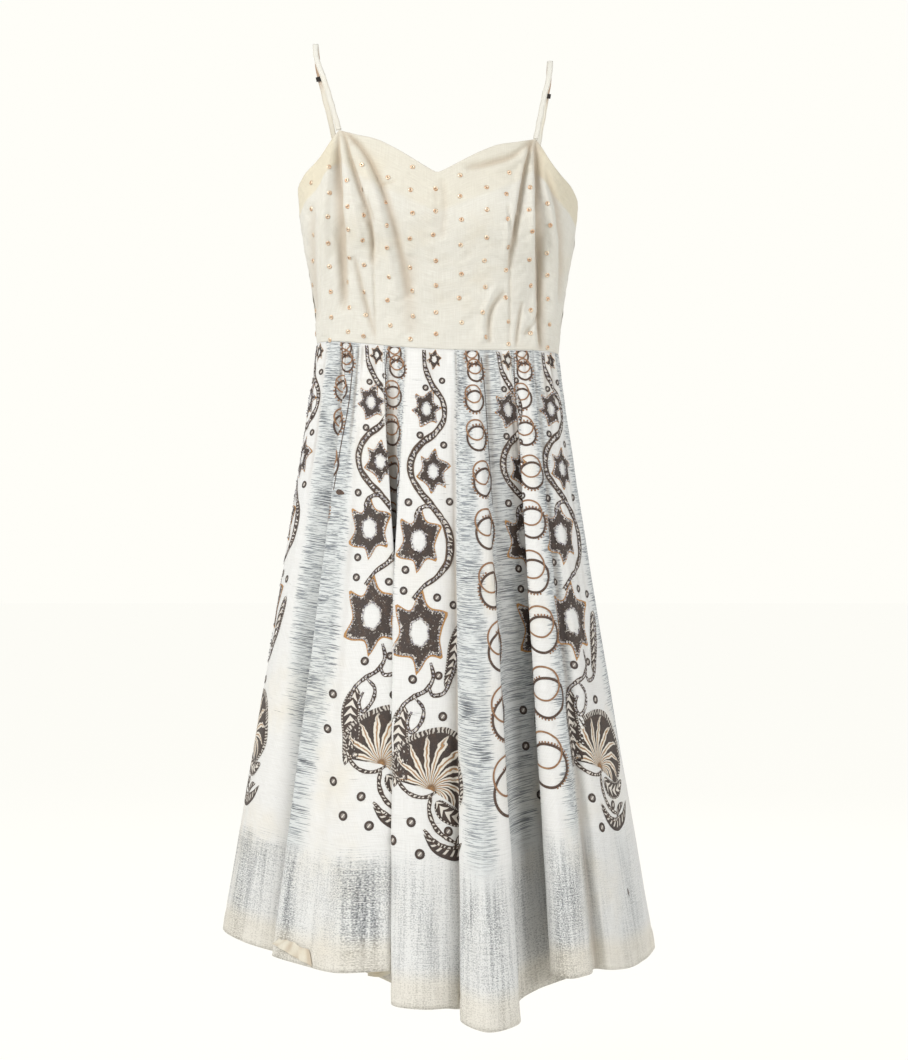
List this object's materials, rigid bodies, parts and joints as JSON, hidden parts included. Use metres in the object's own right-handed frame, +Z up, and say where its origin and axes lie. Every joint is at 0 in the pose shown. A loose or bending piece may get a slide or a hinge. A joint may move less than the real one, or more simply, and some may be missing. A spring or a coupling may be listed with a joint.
{
  "type": "strapped mexican fiesta sundress with painted circle skirt",
  "caption": "Cotton sundress with narrow shoulder straps, fitted darted bodice and a full painted circle skirt hanging in deep folds, hollow and open at neck, arms and hem",
  "frame": {"origin": "midway between the tops of the two shoulder straps, where the dress is held up", "axes": "+Z up, the front of the dress faces -Y, +X is to the right of someone who looks at the front"},
  "size_m": [0.511, 0.406, 1.1379],
  "materials": {
    "bodice_front": "plain-woven cream cotton with scattered bronze sequins",
    "bodice_back_left": "plain-woven cream cotton with scattered bronze sequins",
    "bodice_back_right": "plain-woven cream cotton with scattered bronze sequins",
    "facing_front": "plain cotton facing, warm cream",
    "facing_back_left": "plain cotton facing, warm cream",
    "facing_back_right": "plain cotton facing, warm cream",
    "skirt_front": "plain-woven cotton, off-white, hand-painted bands and garlands in blue grey, dark brown and gold",
    "skirt_back_left": "plain-woven cotton, off-white, hand-painted bands and garlands in blue grey, dark brown and gold",
    "skirt_back_right": "plain-woven cotton, off-white, hand-painted bands and garlands in blue grey, dark brown and gold",
    "hem_front": "plain-woven cotton turn-up, wrong side out",
    "hem_back_left": "plain-woven cotton turn-up, wrong side out",
    "hem_back_right": "plain-woven cotton turn-up, wrong side out",
    "back_placket": "plain cotton strip, edge stitched",
    "strap_left": "narrow folded and stitched cotton strap",
    "strap_right": "narrow folded and stitched cotton strap",
    "strap_slide_left": "small dark lacquered slide",
    "strap_slide_right": "small dark lacquered slide"
  },
  "bodies": {
    "root": {"bodice_front": "bodice_front", "bodice_back_left": "bodice_back_left", "bodice_back_right": "bodice_back_right", "facing_front": "facing_front", "facing_back_left": "facing_back_left", "facing_back_right": "facing_back_right", "skirt_front": "skirt_front", "skirt_back_left": "skirt_back_left", "skirt_back_right": "skirt_back_right", "hem_front": "hem_front", "hem_back_left": "hem_back_left", "hem_back_right": "hem_back_right", "back_placket": "back_placket", "strap_left": "strap_left", "strap_right": "strap_right", "strap_slide_left": "strap_slide_left", "strap_slide_right": "strap_slide_right"}
  },
  "joints": []
}
